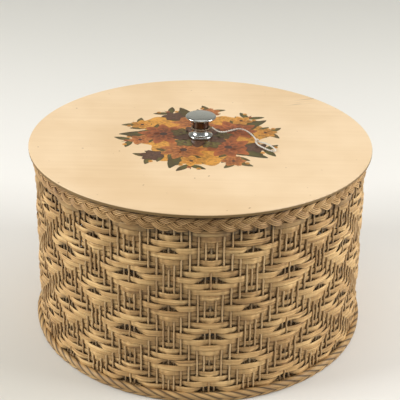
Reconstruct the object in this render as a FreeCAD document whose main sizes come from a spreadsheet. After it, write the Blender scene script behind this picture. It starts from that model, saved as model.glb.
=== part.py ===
"""Round woven work box with a lift-off wooden lid, a chrome knob and a tag string.

Upright stakes stand on a plaited foot border and carry rows of flat reed in a
diamond twill.  A plaited rim border closes the wall and carries the flat lid.
Millimetres, +Z up, origin at the middle of the footprint.
"""
import FreeCAD, Part
import math
import os

import Sketcher
from FreeCAD import Vector

doc = FreeCAD.newDocument("work_box")

# Driving sizes, one cell each
SIZES = [
    ("stake_count", 168),
    ("stake_dia", 1.7),
    ("stake_gap", 0.05),
    ("row_count", 29),
    ("row_pitch", 4.79),
    ("reed_width", 4.5),
    ("reed_thick", 1.0),
    ("weave_gap", 0.15),
    ("twill_columns", 6),
    ("twill_rows", 5),
    ("top_row_step", 3),
    ("twill_turn", 4.3),
    ("foot_dia", 285.0),
    ("foot_overhang", 5.0),
    ("foot_height", 7.2),
    ("foot_bulge", 2.6),
    ("foot_ledge", 7.0),
    ("foot_ledge_thick", 2.0),
    ("foot_row_gap", 0.1),
    ("base_inset", 12.0),
    ("base_thick", 5.0),
    ("base_gap", 0.3),
    ("rim_dia", 276.0),
    ("rim_overhang", 3.6),
    ("rim_width", 8.5),
    ("rim_height", 12.0),
    ("rim_round", 2.0),
    ("rim_row_gap", 0.1),
    ("lid_overhang", 2.0),
    ("lid_thick", 3.0),
    ("lid_round", 0.8),
    ("hoop_gap", 1.5),
    ("hoop_thick", 3.0),
    ("hoop_depth", 9.0),
    ("transfer_dia", 140.0),
    ("transfer_lobes", 12),
    ("transfer_lobe_rise", 5.0),
    ("transfer_thick", 0.15),
    ("knob_dia", 25.0),
    ("knob_height", 19.4),
    ("knob_rim_thick", 2.2),
    ("knob_rim_round", 1.0),
    ("knob_dome", 0.9),
    ("knob_neck_dia", 13.2),
    ("knob_foot_dia", 20.2),
    ("knob_foot_edge", 2.0),
    ("knob_flare_height", 6.8),
    ("knob_flare_sweep", 1.0),
    ("knob_under_height", 14.2),
    ("knob_under_sweep", 0.5),
    ("knob_bore_depth", 9.0),
    ("screw_dia", 4.0),
    ("screw_gap", 0.2),
    ("thread_gap", 0.05),
    ("screw_head_dia", 8.0),
    ("screw_head_thick", 2.6),
    ("screw_head_edge", 0.8),
    ("screw_grip", 8.0),
    ("washer_dia", 12.0),
    ("washer_thick", 1.0),
    ("string_dia", 1.4),
    ("string_gap", 0.15),
    ("string_neck_height", 8.1),
]

sheet = doc.addObject("Spreadsheet::Sheet", "Sizes")
for line, (alias, value) in enumerate(SIZES, start=1):
    sheet.set(f"A{line}", alias)
    sheet.set(f"B{line}", str(value))
    sheet.setAlias(f"B{line}", alias)
doc.recompute()


def size(alias):
    """The number in a named cell."""
    return float(sheet.get(alias))


# Heights that follow from the stack of pieces, as expressions on the sheet
FIRST_ROW = "(Sizes.foot_height + Sizes.foot_row_gap)"
LAST_ROW_TOP = f"({FIRST_ROW} + (Sizes.row_count - 1) * Sizes.row_pitch + Sizes.reed_width)"
RIM_FOOT = f"({LAST_ROW_TOP} + Sizes.rim_row_gap)"
LID_SEAT = f"({RIM_FOOT} + Sizes.rim_height)"
LID_TOP = f"({LID_SEAT} + Sizes.lid_thick)"
KNOB_SEAT = f"({LID_TOP} + Sizes.transfer_thick)"

heights = doc.addObject("Spreadsheet::Sheet", "Heights")
for line, (alias, text) in enumerate(
    [
        ("first_row", FIRST_ROW),
        ("rim_foot", RIM_FOOT),
        ("lid_seat", LID_SEAT),
        ("lid_top", LID_TOP),
        ("knob_seat", KNOB_SEAT),
    ],
    start=1,
):
    heights.set(f"A{line}", alias)
    heights.set(f"B{line}", f"={text}")
    heights.setAlias(f"B{line}", alias)
doc.recompute()


def height(alias):
    """A worked-out height of the stack."""
    return float(heights.get(alias))


# Diameters that follow the foot and the rim
rings = doc.addObject("Spreadsheet::Sheet", "Rings")
for line, (alias, text) in enumerate(
    [
        ("stake_circle_foot", "Sizes.foot_dia - 2 * Sizes.foot_overhang"),
        ("stake_circle_rim", "Sizes.rim_dia - 2 * Sizes.rim_overhang"),
        ("base_dia", "Sizes.foot_dia - 2 * Sizes.base_inset"),
        ("lid_dia", "Sizes.rim_dia + 2 * Sizes.lid_overhang"),
    ],
    start=1,
):
    rings.set(f"A{line}", alias)
    rings.set(f"B{line}", f"={text}")
    rings.setAlias(f"B{line}", alias)
doc.recompute()


def ring(alias):
    """A worked-out diameter."""
    return float(rings.get(alias))


nodes = []


def keep(item, name):
    """Register an object as one named sub-part."""
    item.Label = name
    nodes.append(item)
    return item


def origin_plane(body, role):
    """One of the body's own origin planes."""
    return next(plane for plane in body.Origin.OriginFeatures if plane.Role == role)


def new_sketch(body, name, role):
    """An empty sketch on one of the body's origin planes."""
    sketch = body.newObject("Sketcher::SketchObject", name)
    sketch.AttachmentSupport = [(origin_plane(body, role), "")]
    sketch.MapMode = "FlatFace"
    return sketch


def bind_point(sketch, geometry, end, name, across, up):
    """Tie a sketch point to two expressions, measured from the sketch origin."""
    for axis, kind, text in ((-2, "DistanceX", across), (-1, "DistanceY", up)):
        if text == "0":
            sketch.addConstraint(Sketcher.Constraint("PointOnObject", geometry, end, axis))
            continue
        start = sketch.getPoint(geometry, end)
        here = start.x if kind == "DistanceX" else start.y
        index = sketch.addConstraint(Sketcher.Constraint(kind, -1, 1, geometry, end, here))
        sketch.renameConstraint(index, f"{name}_{kind[-1].lower()}")
        sketch.setExpression(f"Constraints.{name}_{kind[-1].lower()}", text)


def evaluate(text):
    """The present value of an expression on the sheets."""
    value = sheet.evalExpression(text)
    return float(getattr(value, "Value", value))


def revolved(name, outline, seat):
    """Turn a closed half outline about Z.

    Each corner of the outline is (across, up, bulge): two expressions, and the
    rise of the arc that leads to the next corner, None for a straight side.
    """
    body = doc.addObject("PartDesign::Body", name)
    sketch = new_sketch(body, f"{name}_outline", "XZ_Plane")
    corners = [Vector(evaluate(across), evaluate(up), 0) for across, up, bulge in outline]
    count = len(corners)
    for index, (across, up, bulge) in enumerate(outline):
        here = corners[index]
        there = corners[(index + 1) % count]
        if bulge is None:
            sketch.addGeometry(Part.LineSegment(here, there))
            continue
        chord = there - here
        side = Vector(chord.y, -chord.x, 0).normalize()
        middle = (here + there) * 0.5 + side * evaluate(bulge)
        sketch.addGeometry(Part.Arc(here, middle, there))
    ends = []
    for index, (across, up, bulge) in enumerate(outline):
        turned = bulge is not None and evaluate(bulge) < 0
        ends.append((2, 1) if turned else (1, 2))
    for index in range(count):
        after = (index + 1) % count
        sketch.addConstraint(
            Sketcher.Constraint("Coincident", index, ends[index][1], after, ends[after][0])
        )
    for index, (across, up, bulge) in enumerate(outline):
        bind_point(sketch, index, ends[index][0], f"corner_{index}", across, up)
        if bulge is not None:
            radius = sketch.Geometry[index].Radius
            rule = sketch.addConstraint(Sketcher.Constraint("Radius", index, radius))
            sketch.renameConstraint(rule, f"arc_{index}")
            far_across, far_up, _ = outline[(index + 1) % count]
            half = f"(({far_across} - {across}) ^ 2 + ({far_up} - {up}) ^ 2) / 4"
            rise = f"abs({bulge})"
            sketch.setExpression(f"Constraints.arc_{index}", f"({half} + {rise} ^ 2) / (2 * {rise})")
    turn = body.newObject("PartDesign::Revolution", f"{name}_turn")
    turn.Profile = sketch
    turn.ReferenceAxis = (sketch, ["V_Axis"])
    turn.Angle = 360
    body.Tip = turn
    body.setExpression("Placement.Base.z", seat)
    return keep(body, name)


def disc(name, across, hole, thick, seat, edge_round):
    """A flat round board, bored in the middle where a hole size is given."""
    body = doc.addObject("PartDesign::Body", name)
    sketch = new_sketch(body, f"{name}_outline", "XY_Plane")
    for index, (label, text) in enumerate((("across", across), ("hole", hole))):
        if text is None:
            continue
        sketch.addGeometry(Part.Circle(Vector(), Vector(0, 0, 1), evaluate(text) / 2))
        sketch.addConstraint(Sketcher.Constraint("Coincident", index, 3, -1, 1))
        rule = sketch.addConstraint(Sketcher.Constraint("Diameter", index, evaluate(text)))
        sketch.renameConstraint(rule, label)
        sketch.setExpression(f"Constraints.{label}", text)
    pad = body.newObject("PartDesign::Pad", f"{name}_pad")
    pad.Profile = sketch
    pad.setExpression("Length", thick)
    body.Tip = pad
    doc.recompute()
    if edge_round is not None:
        rims = [
            f"Edge{place}"
            for place, edge in enumerate(pad.Shape.Edges, start=1)
            if len(edge.Vertexes) == 1 and abs(edge.Curve.Radius - evaluate(across) / 2) < 0.01
        ]
        fillet = body.newObject("PartDesign::Fillet", f"{name}_round")
        fillet.Base = (pad, rims)
        fillet.setExpression("Radius", edge_round)
        body.Tip = fillet
    body.setExpression("Placement.Base.z", seat)
    return keep(body, name)


# Foot border and base board
FOOT_R = "Sizes.foot_dia / 2"
FOOT_INNER_R = "(Rings.base_dia / 2 + Sizes.base_gap)"
FOOT_FLAT_R = "(Sizes.foot_dia / 2 - Sizes.foot_bulge)"
FOOT_LEDGE_R = "(Rings.base_dia / 2 + Sizes.base_gap - Sizes.foot_ledge)"

revolved(
    "foot_border",
    [
        (FOOT_LEDGE_R, "0", None),
        (FOOT_FLAT_R, "0", "Sizes.foot_bulge"),
        (FOOT_FLAT_R, "Sizes.foot_height", None),
        (FOOT_INNER_R, "Sizes.foot_height", None),
        (FOOT_INNER_R, "Sizes.foot_ledge_thick", None),
        (FOOT_LEDGE_R, "Sizes.foot_ledge_thick", None),
    ],
    "0",
)
disc("base_board", "Rings.base_dia", None, "Sizes.base_thick", "Sizes.foot_ledge_thick", None)

# Rim border that carries the lid
RIM_R = "Sizes.rim_dia / 2"
RIM_FLAT_R = "(Sizes.rim_dia / 2 - Sizes.rim_round)"
RIM_INNER_R = "(Sizes.rim_dia / 2 - Sizes.rim_width)"

revolved(
    "rim_border",
    [
        (RIM_INNER_R, "0", None),
        (RIM_FLAT_R, "0", "Sizes.rim_round"),
        (RIM_FLAT_R, "Sizes.rim_height", None),
        (RIM_INNER_R, "Sizes.rim_height", None),
    ],
    "Heights.rim_foot",
)

# Upright stakes, one rod every few degrees, leaning in a little towards the rim
stake_rise = height("rim_foot") - size("foot_height")
stake_count = int(size("stake_count"))
STAKE_RISE = "(Heights.rim_foot - Sizes.foot_height - 2 * Sizes.stake_gap)"
STAKE_LEAN = f"atan((Rings.stake_circle_foot - Rings.stake_circle_rim) / 2 / {STAKE_RISE})"
rods = []
for place in range(stake_count):
    turn = f"(Sizes.twill_turn + 360 * {place} / Sizes.stake_count)"
    rod = doc.addObject("Part::Cylinder", f"stake_{place:03d}")
    rod.setExpression("Radius", "Sizes.stake_dia / 2")
    rod.setExpression("Height", STAKE_RISE)
    rod.setExpression("Placement.Base.x", f"Rings.stake_circle_foot / 2 * cos({turn})")
    rod.setExpression("Placement.Base.y", f"Rings.stake_circle_foot / 2 * sin({turn})")
    rod.setExpression("Placement.Base.z", "Sizes.foot_height + Sizes.stake_gap")
    rod.setExpression("Placement.Rotation.Angle", STAKE_LEAN)
    rod.setExpression("Placement.Rotation.Axis.x", f"sin({turn})")
    rod.setExpression("Placement.Rotation.Axis.y", f"-cos({turn})")
    rod.setExpression("Placement.Rotation.Axis.z", "0")
    rods.append(rod)
stakes = doc.addObject("Part::Compound", "stakes")
stakes.Links = rods
keep(stakes, "stakes")


# Flat reed rows in diamond twill
def zigzag(step, reach):
    """Distance of a step from the nearest multiple of twice the reach."""
    folded = step % (2 * reach)
    return min(folded, 2 * reach - folded)


def reed_in_front(place, row_from_top):
    """Whether the reed of a row passes outside a stake."""
    columns = int(size("twill_columns"))
    rows = int(size("twill_rows"))
    step = zigzag(row_from_top - int(size("top_row_step")), rows)
    return (zigzag(place, columns) + step) % columns in (1, 2, 3)


def wall_radius(level):
    """Radius of the stake circle at a height."""
    share = (level - size("foot_height")) / stake_rise
    foot = ring("stake_circle_foot") / 2
    rim = ring("stake_circle_rim") / 2
    return foot + (rim - foot) * share


def on_circle(radius, angle):
    """A point of the wall's plan."""
    return Vector(radius * math.cos(angle), radius * math.sin(angle), 0)


def reed_face(radius, row_from_top):
    """Plan of one closed row: floats outside and inside the stakes, joined by slants."""
    pitch = 2 * math.pi / stake_count
    first_angle = math.radians(size("twill_turn"))
    lean = abs(ring("stake_circle_foot") - ring("stake_circle_rim")) / 2 / stake_rise
    slack = size("weave_gap") + lean * size("reed_width") / 2
    offset = size("stake_dia") / 2 + slack + size("reed_thick") / 2
    slant = math.asin(2 * offset / (radius * pitch))
    fronts = [reed_in_front(place, row_from_top) for place in range(stake_count)]
    starts = [place for place in range(stake_count) if fronts[place] != fronts[place - 1]]
    wires = []
    for face_side in (1, -1):
        skin = face_side * size("reed_thick") / 2
        corners = []
        for index, first in enumerate(starts):
            last = (starts[(index + 1) % len(starts)] - 1) % stake_count
            last = last if last >= first else last + stake_count
            side = 1 if fronts[first] else -1
            level = radius + side * offset + skin
            over = (offset + side * skin) * math.tan(slant / 2) / radius
            start = first_angle + first * pitch - over
            stop = first_angle + last * pitch + over
            corners.append((level, start, stop))
        edges = []
        for index, (level, start, stop) in enumerate(corners):
            middle = on_circle(level, (start + stop) / 2)
            edges.append(Part.Arc(on_circle(level, start), middle, on_circle(level, stop)).toShape())
            next_level, next_start, _ = corners[(index + 1) % len(corners)]
            edges.append(
                Part.LineSegment(on_circle(level, stop), on_circle(next_level, next_start)).toShape()
            )
        wires.append(Part.Wire(edges))
    return Part.makeFace(wires, "Part::FaceMakerBullseye")


row_count = int(size("row_count"))
for row in range(row_count):
    low = height("first_row") + row * size("row_pitch")
    plan = doc.addObject("Part::Feature", f"reed_plan_{row + 1:02d}")
    plan.Shape = reed_face(wall_radius(low + size("reed_width") / 2), row_count - 1 - row)
    plan.setExpression("Placement.Base.z", f"Heights.first_row + {row} * Sizes.row_pitch")
    reed = doc.addObject("Part::Extrusion", f"weaver_{row + 1:02d}")
    reed.Base = plan
    reed.DirMode = "Custom"
    reed.Dir = Vector(0, 0, 1)
    reed.Solid = True
    reed.setExpression("LengthFwd", "Sizes.reed_width")
    keep(reed, f"weaver_{row + 1:02d}")

# Lid: board, locating hoop and printed transfer
SCREW_HOLE = "(Sizes.screw_dia + 2 * Sizes.screw_gap)"
disc("lid_board", "Rings.lid_dia", SCREW_HOLE, "Sizes.lid_thick", "Heights.lid_seat", "Sizes.lid_round")

HOOP_DIA = f"(2 * ({RIM_INNER_R} - Sizes.hoop_gap))"
HOOP_BORE = f"({HOOP_DIA} - 2 * Sizes.hoop_thick)"
disc("lid_hoop", HOOP_DIA, HOOP_BORE, "Sizes.hoop_depth", "Heights.lid_seat - Sizes.hoop_depth", None)


def transfer_face():
    """Scalloped outline of the printed film, with the screw hole in it."""
    lobes = int(size("transfer_lobes"))
    valley = size("transfer_dia") / 2 - size("transfer_lobe_rise")
    crest = size("transfer_dia") / 2
    step = 2 * math.pi / lobes
    arcs = [
        Part.Arc(
            on_circle(valley, lobe * step),
            on_circle(crest, (lobe + 0.5) * step),
            on_circle(valley, (lobe + 1) * step),
        ).toShape()
        for lobe in range(lobes)
    ]
    hole = Part.makeCircle(size("screw_dia") / 2 + size("screw_gap"))
    return Part.makeFace([Part.Wire(arcs), Part.Wire([hole])], "Part::FaceMakerBullseye")


film_plan = doc.addObject("Part::Feature", "transfer_plan")
film_plan.Shape = transfer_face()
film_plan.setExpression("Placement.Base.z", "Heights.lid_top")
film = doc.addObject("Part::Extrusion", "floral_transfer")
film.Base = film_plan
film.DirMode = "Custom"
film.Dir = Vector(0, 0, 1)
film.Solid = True
film.setExpression("LengthFwd", "Sizes.transfer_thick")
keep(film, "floral_transfer")

# Knob, screw and washer
def cap_bulge(across, rise):
    """Bulge of an arc from the axis to a rim that is level where it meets the axis."""
    slope = f"sqrt(({across}) ^ 2 + ({rise}) ^ 2)"
    return f"({slope} ^ 2 / (2 * ({rise})) * (1 - ({across}) / {slope}))"


KNOB_RIM_R = "(Sizes.knob_dia / 2 - Sizes.knob_rim_round)"
NECK_R = "Sizes.knob_neck_dia / 2"
KNOB_FOOT_R = "Sizes.knob_foot_dia / 2"
BORE_R = "(Sizes.screw_dia / 2 + Sizes.thread_gap)"
KNOB_RIM_TOP = "(Sizes.knob_height - Sizes.knob_dome)"
KNOB_RIM_LOW = f"({KNOB_RIM_TOP} - Sizes.knob_rim_thick)"

revolved(
    "knob",
    [
        (BORE_R, "0", None),
        (KNOB_FOOT_R, "0", None),
        (KNOB_FOOT_R, "Sizes.knob_foot_edge", "-Sizes.knob_flare_sweep"),
        (NECK_R, "Sizes.knob_flare_height", None),
        (NECK_R, "Sizes.knob_under_height", "-Sizes.knob_under_sweep"),
        (KNOB_RIM_R, KNOB_RIM_LOW, "Sizes.knob_rim_round"),
        (KNOB_RIM_R, KNOB_RIM_TOP, cap_bulge(KNOB_RIM_R, "Sizes.knob_dome")),
        ("0", "Sizes.knob_height", None),
        ("0", "Sizes.knob_bore_depth", None),
        (BORE_R, "Sizes.knob_bore_depth", None),
    ],
    "Heights.knob_seat",
)

WASHER_SEAT = "(Heights.lid_seat - Sizes.washer_thick)"
HEAD_R = "Sizes.screw_head_dia / 2"
HEAD_DOME = "(Sizes.screw_head_thick - Sizes.screw_head_edge)"
SHANK_TOP = "(Sizes.washer_thick + Sizes.lid_thick + Sizes.transfer_thick + Sizes.screw_grip)"
revolved(
    "knob_screw",
    [
        ("0", "-Sizes.screw_head_thick", cap_bulge(HEAD_R, HEAD_DOME)),
        (HEAD_R, "-Sizes.screw_head_edge", None),
        (HEAD_R, "0", None),
        ("Sizes.screw_dia / 2", "0", None),
        ("Sizes.screw_dia / 2", SHANK_TOP, None),
        ("0", SHANK_TOP, None),
    ],
    WASHER_SEAT,
)
disc("knob_washer", "Sizes.washer_dia", SCREW_HOLE, "Sizes.washer_thick", WASHER_SEAT, None)


# Tag string: a turn round the neck, the free run and the loop at its end
def rounded_path(points, label):
    """Straight runs joined by the largest tangent arcs that the runs allow."""
    edges = []
    start = points[0]
    radii = []
    for before, here, after in zip(points, points[1:], points[2:]):
        into = (here - before).normalize()
        out = (after - here).normalize()
        run = min((here - before).Length, (after - here).Length)
        turn = into.getAngle(out)
        reach = 0.45 * run
        radii.append(reach / math.tan(turn / 2))
        arc_start = here - into * reach
        arc_end = here + out * reach
        inward = (out - into).normalize()
        middle = here + inward * (radii[-1] / math.cos(turn / 2) - radii[-1])
        edges.append(Part.LineSegment(start, arc_start).toShape())
        edges.append(Part.Arc(arc_start, middle, arc_end).toShape())
        start = arc_end
    edges.append(Part.LineSegment(start, points[-1]).toShape())
    print(f"{label} radii", [round(radius, 2) for radius in radii])
    return Part.Wire(edges)


def tube(name, points):
    """A round cord along a route, checked against its section times its length."""
    path = rounded_path(points, name)
    heading = (points[1] - points[0]).normalize()
    section = Part.Wire([Part.makeCircle(size("string_dia") / 2, points[0], heading)])
    solid = path.makePipeShell([section], True, False)
    expected = math.pi * size("string_dia") ** 2 / 4 * path.Length
    print(f"{name} length {path.Length:.2f}, volume ratio {solid.Volume / expected:.5f}")
    if abs(solid.Volume / expected - 1) > 0.01:
        raise ValueError(f"{name} does not fill its route")
    item = doc.addObject("Part::Feature", name)
    item.Shape = solid
    item.setExpression("Placement.Base.z", "Heights.knob_seat")
    return keep(item, name)


neck_turn = doc.addObject("Part::Torus", "string_neck_turn")
neck_turn.setExpression("Radius1", f"{NECK_R} + Sizes.string_gap + Sizes.string_dia / 2")
neck_turn.setExpression("Radius2", "Sizes.string_dia / 2")
neck_turn.setExpression("Placement.Base.z", "Heights.knob_seat + Sizes.string_neck_height")
keep(neck_turn, "string_neck_turn")

LEAD_POINTS = [
    Vector(8.9, 0.9, 8.0),
    Vector(12.4, 2.4, 4.4),
    Vector(17.2, 5.6, 1.3),
    Vector(24.0, 10.4, 0.95),
    Vector(31.2, 13.6, 1.9),
    Vector(37.2, 10.8, 1.8),
    Vector(42.2, 3.8, 0.9),
    Vector(44.8, -4.9, 0.95),
    Vector(45.8, -10.6, 0.9),
]
tube("string_lead", LEAD_POINTS)

LOOP_START = Vector(45.9, -12.2, 0.9)
LOOP_ALONG = Vector(0.68, -0.735, 0).normalize()
LOOP_ACROSS = Vector(0.735, 0.68, 0).normalize()
LOOP_POINTS = [
    (0.5, 0.9, 0.0),
    (4.5, 2.9, 0.1),
    (9.5, 2.8, 0.4),
    (15.0, 2.0, 0.3),
    (20.0, 0.7, 0.1),
    (22.8, -1.6, 0.0),
    (21.4, -4.2, 0.1),
    (17.0, -5.2, 0.3),
    (11.0, -5.2, 0.5),
    (5.0, -4.2, 0.2),
    (0.3, -1.4, 0.0),
]
tube(
    "string_end_loop",
    [LOOP_START + LOOP_ALONG * far + LOOP_ACROSS * wide + Vector(0, 0, up) for far, wide, up in LOOP_POINTS],
)

doc.recompute()

# Every feature is sound before anything is written
for item in doc.Objects:
    if "Invalid" in item.State or "Error" in item.State:
        raise ValueError(f"{item.Label} failed: {item.State}")
for item in nodes:
    shape = item.Shape
    if shape.isNull() or not shape.isValid() or not shape.Solids:
        raise ValueError(f"{item.Label} is not a sound solid")

os.makedirs("parts", exist_ok=True)
for item in nodes:
    item.Shape.exportStep(f"parts/{item.Label}.step")
print(len(nodes), "sub-parts; lid top at", round(height("lid_top"), 2))
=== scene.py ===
# %% [markdown]
# # A woven work box, piece by piece
# The box is a round reed basket with a flat wooden lid. This lesson dresses those
# solids. Reed, stakes and plaits are grown by Geometry Nodes because each of them
# follows a rule; the printed spray, the knob and the string are meshes.

# %% Load the frame
import math

import bmesh
import bpy
from mathutils import Matrix, Vector


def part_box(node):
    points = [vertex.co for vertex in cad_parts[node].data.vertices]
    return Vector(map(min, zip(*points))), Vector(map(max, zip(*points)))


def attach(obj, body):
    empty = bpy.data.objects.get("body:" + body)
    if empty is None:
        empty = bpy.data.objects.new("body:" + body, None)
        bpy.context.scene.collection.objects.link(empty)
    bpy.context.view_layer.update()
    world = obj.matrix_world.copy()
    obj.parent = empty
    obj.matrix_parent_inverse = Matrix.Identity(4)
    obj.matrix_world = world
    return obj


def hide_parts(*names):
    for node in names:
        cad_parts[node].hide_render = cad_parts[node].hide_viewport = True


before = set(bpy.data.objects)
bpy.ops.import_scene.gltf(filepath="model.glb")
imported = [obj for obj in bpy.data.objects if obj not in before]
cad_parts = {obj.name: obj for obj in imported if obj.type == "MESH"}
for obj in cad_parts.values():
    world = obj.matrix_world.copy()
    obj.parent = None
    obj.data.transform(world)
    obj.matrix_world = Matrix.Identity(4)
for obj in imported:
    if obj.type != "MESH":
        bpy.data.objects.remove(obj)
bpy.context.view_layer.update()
print("solids loaded:", len(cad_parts))

# %% [markdown]
# ## Writing node trees as expressions
# Every finish and every woven piece below is a node tree.  A tree could be wired by hand
# or as a list of links, but a formula is easier to read.  `Wire` holds one output socket
# and knows `+ - * /`; every operator adds a Math node.  `Net.node` makes any other node:
# its type, its settings, then the values or links of its sockets.


# %% A wire
class Wire:
    """One output socket that can be used in arithmetic."""

    def __init__(self, net, socket):
        self.net = net
        self.socket = socket

    def other(self, name):
        """Another output of the same node."""
        return Wire(self.net, self.socket.node.outputs[name])

    def math(self, operation, *values):
        return self.net.math(operation, self, *values)

    def __add__(self, value):
        return self.math("ADD", value)

    def __radd__(self, value):
        return self.net.math("ADD", value, self)

    def __sub__(self, value):
        return self.math("SUBTRACT", value)

    def __rsub__(self, value):
        return self.net.math("SUBTRACT", value, self)

    def __mul__(self, value):
        return self.math("MULTIPLY", value)

    def __rmul__(self, value):
        return self.net.math("MULTIPLY", value, self)

    def __truediv__(self, value):
        return self.math("DIVIDE", value)

    def __rtruediv__(self, value):
        return self.net.math("DIVIDE", value, self)


# %% A net
class Net:
    """A node tree with one method that makes nodes."""

    def __init__(self, tree):
        self.tree = tree

    def node(self, kind, settings=None, inputs=None, out=0):
        made = self.tree.nodes.new(kind)
        for name, value in (settings or {}).items():
            if name == "stops":
                self.set_stops(made.color_ramp, value)
            else:
                setattr(made, name, value)
        for name, value in (inputs or {}).items():
            self.feed(made.inputs[name], value)
        return Wire(self, made.outputs[out])

    def set_stops(self, ramp, stops):
        while len(ramp.elements) < len(stops):
            ramp.elements.new(0.5)
        for element, (place, colour) in zip(ramp.elements, stops):
            element.position = place
            element.color = (*colour, 1.0)

    def feed(self, socket, value):
        if isinstance(value, Wire):
            self.tree.links.new(value.socket, socket)
        else:
            socket.default_value = value

    def math(self, operation, *values):
        return self.node("ShaderNodeMath", {"operation": operation}, dict(enumerate(values)))

    def xyz(self, x, y, z):
        return self.node("ShaderNodeCombineXYZ", None, {0: x, 1: y, 2: z})

    def split(self, vector):
        parts = self.node("ShaderNodeSeparateXYZ", None, {0: vector})
        return parts, parts.other("Y"), parts.other("Z")

    def smooth(self, value, low, high):
        """A soft step from 0 at low to 1 at high."""
        return self.node(
            "ShaderNodeMapRange",
            {"interpolation_type": "SMOOTHSTEP"},
            {"Value": value, "From Min": low, "From Max": high},
        )

    def noise(self, vector, scale, detail):
        return self.node("ShaderNodeTexNoise", None, {"Vector": vector, "Scale": scale, "Detail": detail})

    def bump(self, strength, distance, height):
        sockets = {"Strength": strength, "Distance": distance, "Height": height}
        return self.node("ShaderNodeBump", None, sockets)

    def mix(self, factor, first, second):
        """Blend two colours."""
        return self.node("ShaderNodeMix", {"data_type": "RGBA"}, {0: factor, 6: first, 7: second}, out=2)


# %% [markdown]
# ## Reed
# Reed is split cane: long fibres run along it, and its colour drifts from honey to brown
# along one length; the hollows of the weave get painted shade.  A picture of cane could be
# wrapped round each piece, but its repeats would show, so noise is stretched along the
# reed instead.  The pieces carry a UV map measured in metres, along the reed and across
# it, so the fibres follow every bend.  An attribute stored on each point says how deep in
# a hollow it lies, and so how much painted shade it gets.


# %% Colours
def rgba(red, green, blue):
    """A colour as the eye names it, 0 to 255, turned into the linear values that light uses."""

    def linear(part):
        part = part / 255.0
        return part / 12.92 if part <= 0.04045 else ((part + 0.055) / 1.055) ** 2.4

    return (linear(red), linear(green), linear(blue), 1.0)


print("honey:", [round(part, 3) for part in rgba(204, 162, 105)])


# %% Starting a finish
def new_finish(name):
    """An empty material, its net and its principled shader."""
    material = bpy.data.materials.new(name)
    material.use_nodes = True
    net = Net(material.node_tree)
    shader = material.node_tree.nodes["Principled BSDF"]
    return material, net, shader


def shade(net, shader, **sockets):
    """Feed the shader's sockets by name, with underscores for spaces."""
    for name, value in sockets.items():
        net.feed(shader.inputs[name.replace("_", " ")], value)


# %% Reed finishes
MM = 0.001
FIBRES = (45.0, 2400.0)
STREAKS = (16.0, 820.0)
PATCH_ACROSS = 130.0
CLOUD_SCALE = 28.0
TONE_STOPS = (0.40, 0.53, 0.66)
FIBRE_HEIGHT = 0.3 * MM


def stretched_noise(net, along, across, rates, detail):
    """Noise drawn out along a piece; rates are its changes per metre along and across."""
    return net.noise(net.xyz(along * rates[0], across * rates[1], 0.0), 1.0, detail)


def reed_finish(name, pale, middle, deep, drift):
    """Fibrous reed in three tones; drift is the length, in metres, over which the tone changes."""
    material, net, shader = new_finish(name)
    along, across, _ = net.split(net.node("ShaderNodeUVMap", {"uv_map": "reed"}))
    fibre = stretched_noise(net, along, across, FIBRES, 3.0)
    streak = stretched_noise(net, along, across, STREAKS, 2.0)
    patch = net.noise(net.xyz(along / drift, across * PATCH_ACROSS, 0.0), 1.0, 2.0)
    cloud = net.noise(net.node("ShaderNodeTexCoord", out="Object"), CLOUD_SCALE, 2.0)
    tone = patch * 0.35 + cloud * 0.2 + fibre * 0.2 + streak * 0.35
    stops = [(mark, tint[:3]) for mark, tint in zip(TONE_STOPS, (deep, middle, pale))]
    colour = net.node("ShaderNodeValToRGB", {"stops": stops}, {0: tone})
    shelter = net.node("ShaderNodeAttribute", {"attribute_name": "shelter"}, out="Fac")
    # Painted shade: the colour is mixed towards near-black brown by the stored shade amount.
    colour = net.mix(shelter, colour, painted_shade_colour)
    normal = net.bump(0.5, FIBRE_HEIGHT, fibre)
    shade(net, shader, Base_Color=colour, Roughness=0.42 + fibre * 0.25, Normal=normal)
    return material


# Near-black brown that is painted into the hollows of the weave as shade.
painted_shade_colour = rgba(30, 14, 2)
flat_reed = reed_finish("flat_reed", rgba(244, 206, 144), rgba(204, 162, 105), rgba(138, 99, 56), 0.05)
stake_reed = reed_finish("stake_reed", rgba(220, 190, 144), rgba(192, 158, 112), rgba(150, 114, 74), 0.03)
plait_reed = reed_finish("plait_reed", rgba(226, 188, 132), rgba(186, 146, 95), rgba(120, 86, 50), 0.02)
rope_reed = reed_finish("rope_reed", rgba(214, 178, 122), rgba(186, 148, 96), rgba(140, 104, 62), 0.02)
print("reed finishes:", [finish.name for finish in (flat_reed, stake_reed, plait_reed, rope_reed)])

# %% [markdown]
# ## The twill rule
# Each row of flat reed passes outside three stakes and inside three, and the pattern
# steps by one stake a row, turning back every six stakes and every five rows.  That
# zigzag makes the diamonds.  It could be drawn as a chart of squares, but a rule is
# shorter and joins up all round.  One small group of nodes answers the question "is the
# reed outside here?" for any stake and row, and both the rows and the stakes ask it.

# %% Sizes of the weave
STAKES = 168
ROWS = 29
COLUMN_REACH = 6
ROW_REACH = 5
TOP_STEP = 3
TWILL_TURN = math.radians(4.3)
CROWDING = 0.25
REED_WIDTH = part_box("weaver_01")[1][2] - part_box("weaver_01")[0][2]
FIRST_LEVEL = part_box("weaver_01")[0][2] + REED_WIDTH / 2
ROW_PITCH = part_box("weaver_02")[0][2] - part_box("weaver_01")[0][2]
STAKE_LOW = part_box("stakes")[0][2]
STAKE_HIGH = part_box("stakes")[1][2]
STAKE_RADIUS = 0.74 * MM
STAKE_SPACE = 0.85 * MM
WALL_LEAN = 3.1 * MM
FOOT_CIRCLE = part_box("stakes")[1][0] - STAKE_SPACE
RIM_CIRCLE = FOOT_CIRCLE - WALL_LEAN
REED_SWING = 1.45 * MM
REED_THICK = 1.0 * MM
print("rows:", ROWS, "stakes:", STAKES, "reed width, mm:", round(REED_WIDTH / MM, 2))

# %% The rule as nodes
OUTSIDE = (0.5, 3.5)
EYES = ((6, 5, 2.9), (0, 0, 1.9))
EYE_GAP = 0.6 * MM
EYE_FLAT = 0.48
EYE_ROWS = (-3.4, -0.9)


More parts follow.
